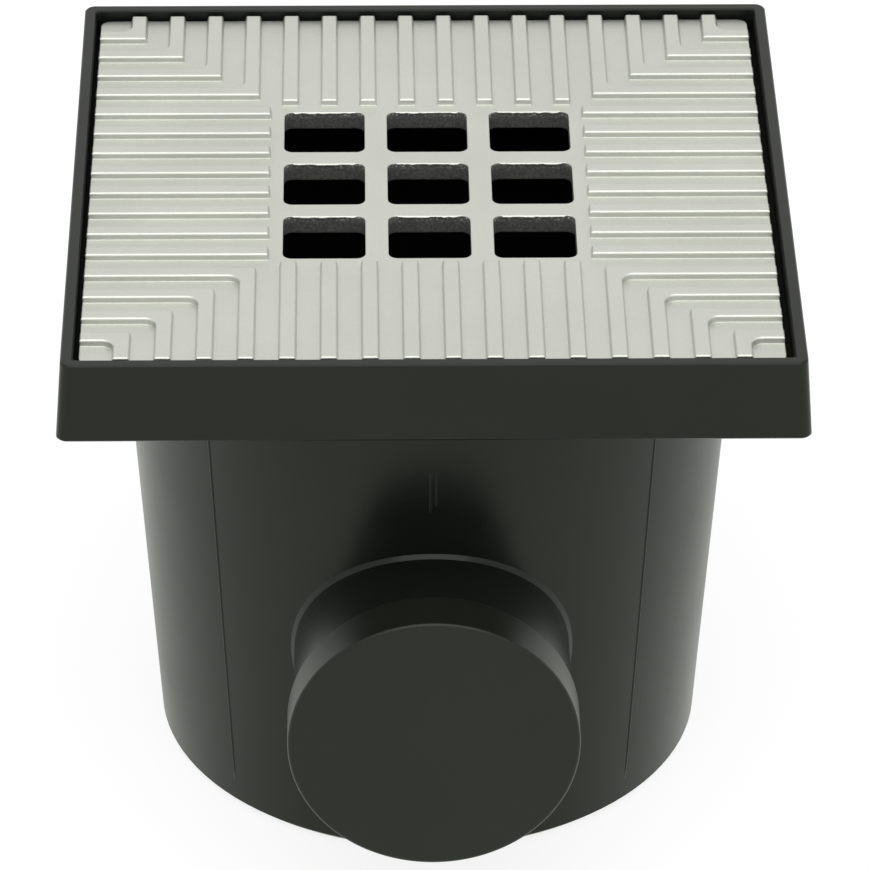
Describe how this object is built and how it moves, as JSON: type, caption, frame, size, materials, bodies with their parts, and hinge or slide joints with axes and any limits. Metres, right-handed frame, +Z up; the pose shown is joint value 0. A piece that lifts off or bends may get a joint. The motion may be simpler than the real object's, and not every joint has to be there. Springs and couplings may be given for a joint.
{
  "type": "yard gully with grate",
  "caption": "Square plastic yard gully: ribbed cast grate lying in a flared tray, tapered round pot with a water trap, and a capped horizontal outlet spigot for a drain pipe.",
  "frame": {"origin": "centre of the pot's flat base, on the pot's axis", "axes": "+Z up along the pot's axis, -Y along the outlet, +X to the right seen from the outlet"},
  "size_m": [0.2032, 0.2223, 0.1775],
  "materials": {
    "body_plastic": "satin moulded",
    "cap_plastic": "satin moulded",
    "trap_plastic": "satin moulded",
    "cast_aluminium": "blasted casting"
  },
  "bodies": {
    "root": {"gully_body": "body_plastic", "grate": "cast_aluminium", "outlet_cap": "cap_plastic", "trap_hood": "trap_plastic"}
  },
  "joints": []
}
